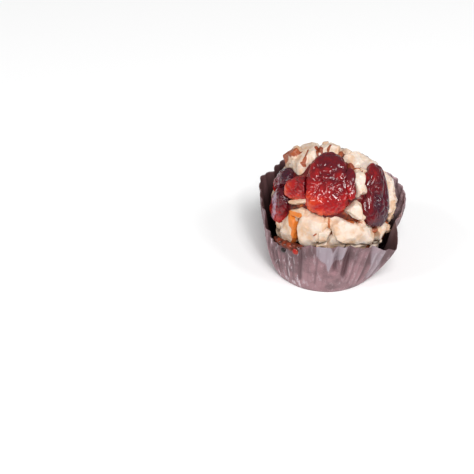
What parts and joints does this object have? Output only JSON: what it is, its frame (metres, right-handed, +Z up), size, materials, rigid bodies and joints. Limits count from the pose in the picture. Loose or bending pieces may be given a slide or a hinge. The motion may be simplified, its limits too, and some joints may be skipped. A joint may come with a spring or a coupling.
{
  "type": "cranberry laddu in a paper case",
  "caption": "Round sweet of chopped nuts bound with syrup and studded with dried cranberries, in a small pleated paper case.",
  "frame": {"origin": "on the underside of the paper case's flat base, below the middle of the laddu", "axes": "+Z up; -Y towards the camera of the picture, the front; +X to the right"},
  "size_m": [0.0437, 0.0428, 0.0396],
  "materials": {
    "case_paper": "dusty mauve greaseproof paper, darker brown inside, slight sheen",
    "bound_nuts": null,
    "dried_cranberry": null
  },
  "bodies": {
    "root": {"paper_case": "case_paper", "nut_cluster": "bound_nuts", "cranberry_front_top": "dried_cranberry", "cranberry_right": "dried_cranberry", "cranberry_left_upper": "dried_cranberry", "cranberry_left_lower": "dried_cranberry", "cranberry_left_back": "dried_cranberry", "cranberry_right_small": "dried_cranberry", "cranberry_back_left": "dried_cranberry", "cranberry_back_right": "dried_cranberry", "cranberry_back_high": "dried_cranberry", "cranberry_right_back": "dried_cranberry"}
  },
  "joints": []
}
